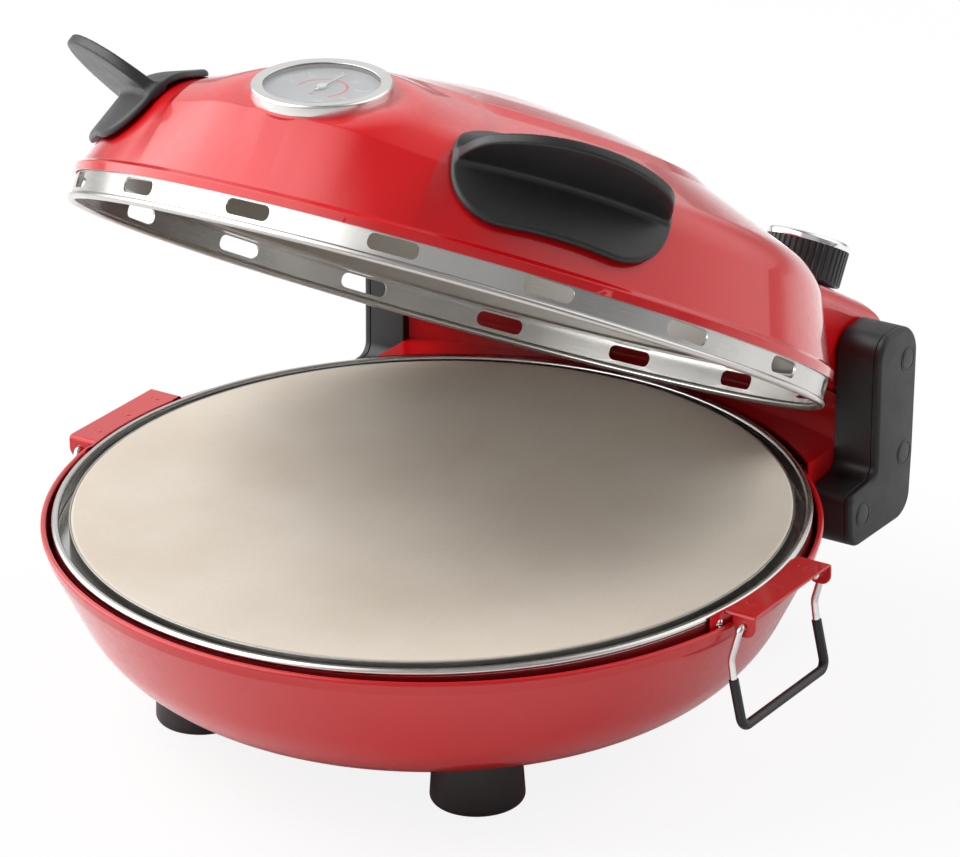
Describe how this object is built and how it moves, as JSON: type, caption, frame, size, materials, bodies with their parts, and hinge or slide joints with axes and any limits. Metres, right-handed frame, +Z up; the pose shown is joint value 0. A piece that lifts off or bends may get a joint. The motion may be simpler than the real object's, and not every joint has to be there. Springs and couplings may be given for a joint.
{
  "type": "electric pizza maker",
  "caption": "Countertop pizza cooker: round red bowl with a stone hearth, and a domed hinged lid with thermometer, vent slots, side grips and a rear control knob",
  "frame": {"origin": "middle of the footprint at rest, on the surface that the feet stand on", "axes": "+X is the object's right seen from the front, -Y is the front where the thermometer is, +Y is the hinge side, +Z is up"},
  "size_m": [0.3656, 0.381, 0.3148],
  "materials": {
    "red_paint": "glossy bright red enamel",
    "black_plastic": "moulded black plastic, satin",
    "rim_steel": "polished stainless steel sheet",
    "pan_steel": "brushed steel sheet, warm from use",
    "element_steel": "dark sheathed heating tube",
    "fastener_steel": "zinc plated steel",
    "wire_chrome": "bright chrome",
    "rubber_sleeve": "black rubber sleeve",
    "stone": "pale fired cordierite stone, matt",
    "dial_face": "satin silver-grey dial with plain printed marks",
    "needle_black": "black enamel",
    "gauge_glass": "clear flat glass",
    "terminal_ceramic": "unglazed white ceramic"
  },
  "bodies": {
    "base": {"base_bowl": "red_paint", "feet": "black_plastic", "foot_screws": "fastener_steel", "rear_box": "red_paint", "rear_deck": "red_paint", "rear_floor": "pan_steel", "cord_gland": "black_plastic", "terminal_block": "terminal_ceramic", "rim_ring": "rim_steel", "steel_pan": "pan_steel", "pan_posts": "pan_steel", "lower_element": "element_steel", "lower_element_clips": "pan_steel", "arm_right_inner": "black_plastic", "arm_right_outer": "black_plastic", "arm_left_inner": "black_plastic", "arm_left_outer": "black_plastic", "arm_screws": "fastener_steel", "arm_plugs": "black_plastic", "hinge_pins": "fastener_steel", "bracket_right": "red_paint", "bracket_left": "red_paint", "bracket_screws": "fastener_steel"},
    "stone": {"baking_stone": "stone", "stone_band": "rim_steel"},
    "bail_right": {"bail_right_wire": "wire_chrome", "bail_right_sleeve": "rubber_sleeve"},
    "bail_left": {"bail_left_wire": "wire_chrome", "bail_left_sleeve": "rubber_sleeve"},
    "lid": {"lid_dome": "red_paint", "lid_skirt": "rim_steel", "lid_reflector": "pan_steel", "upper_element": "element_steel", "upper_element_clips": "pan_steel", "lid_rear_housing": "red_paint", "handle_right": "black_plastic", "handle_left": "black_plastic", "handle_screws": "fastener_steel", "gauge_bezel": "wire_chrome", "gauge_case": "pan_steel", "gauge_dial": "dial_face", "gauge_gasket": "rubber_sleeve", "gauge_glass": "gauge_glass", "gauge_probe": "fastener_steel", "gauge_nut": "fastener_steel", "thermostat": "fastener_steel", "thermostat_nut": "fastener_steel"},
    "needle": {"gauge_needle": "needle_black"},
    "knob": {"knob_body": "black_plastic", "knob_cap": "wire_chrome", "knob_shaft": "fastener_steel"}
  },
  "joints": [
    {"name": "lid_hinge", "type": "hinge", "parent": "base", "child": "lid", "pos_m": [0, 0.15159, 0.1138], "axis": [-1, 0, 0], "range_deg": [-30.4, 40]},
    {"name": "stone_lift", "type": "slide", "parent": "base", "child": "stone", "axis": [0, 0, 1], "range_m": [0, 0.003]},
    {"name": "bail_right_swing", "type": "hinge", "parent": "base", "child": "bail_right", "pos_m": [0.177, -0.01066, 0.087], "axis": [0, -1, 0], "range_deg": [-8, 100]},
    {"name": "bail_left_swing", "type": "hinge", "parent": "base", "child": "bail_left", "pos_m": [-0.177, -0.01066, 0.087], "axis": [0, 1, 0], "range_deg": [-8, 100]},
    {"name": "knob_turn", "type": "hinge", "parent": "lid", "child": "knob", "pos_m": [0.0804, 0.16593, 0.15593], "axis": [0, 0.506, 0.8625], "range_deg": [-150, 120]},
    {"name": "needle_turn", "type": "hinge", "parent": "lid", "child": "needle", "pos_m": [0, -0.09095, 0.30896], "axis": [0, 0.007, 1], "range_deg": [-240, 30]}
  ]
}
